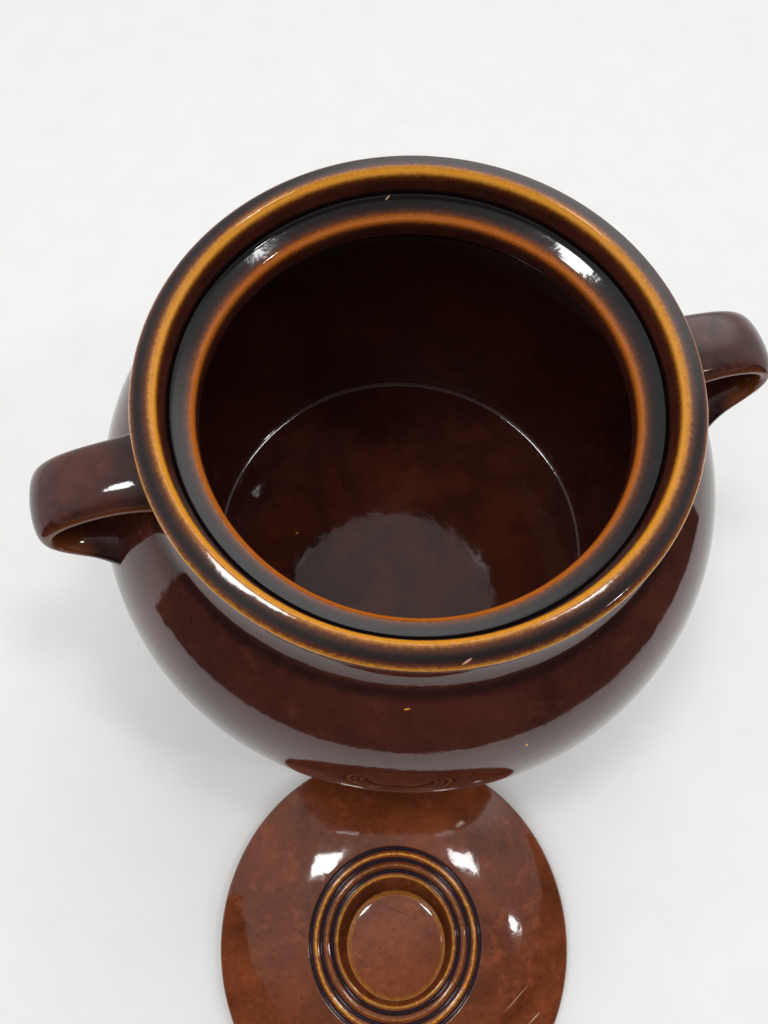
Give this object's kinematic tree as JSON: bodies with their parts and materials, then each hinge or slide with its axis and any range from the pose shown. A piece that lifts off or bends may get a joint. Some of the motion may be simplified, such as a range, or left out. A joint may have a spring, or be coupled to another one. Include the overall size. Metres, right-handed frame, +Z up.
{
  "type": "bean pot",
  "caption": "Round-bellied glazed stoneware bean pot with two small ear handles and a loose knobbed lid lying in front of it.",
  "frame": {"origin": "centre of the foot ring, on the surface the pot stands on", "axes": "+Z up, out of the mouth; the two handles point along +X and -X; the front, where the lid lies, faces -Y"},
  "size_m": [0.2126, 0.2931, 0.1423],
  "materials": {
    "pot_glaze": "gloss",
    "lid_glaze": "gloss"
  },
  "bodies": {
    "pot": {"pot_body": "pot_glaze", "right_handle": "pot_glaze", "left_handle": "pot_glaze"},
    "lid": {"lid": "lid_glaze", "lid_knob": "lid_glaze"}
  },
  "joints": [
    {"name": "lid_lift", "type": "slide", "parent": "pot", "child": "lid", "axis": [-0.1533, -0.5527, 0.8192], "range_m": [0, 0.12]}
  ]
}
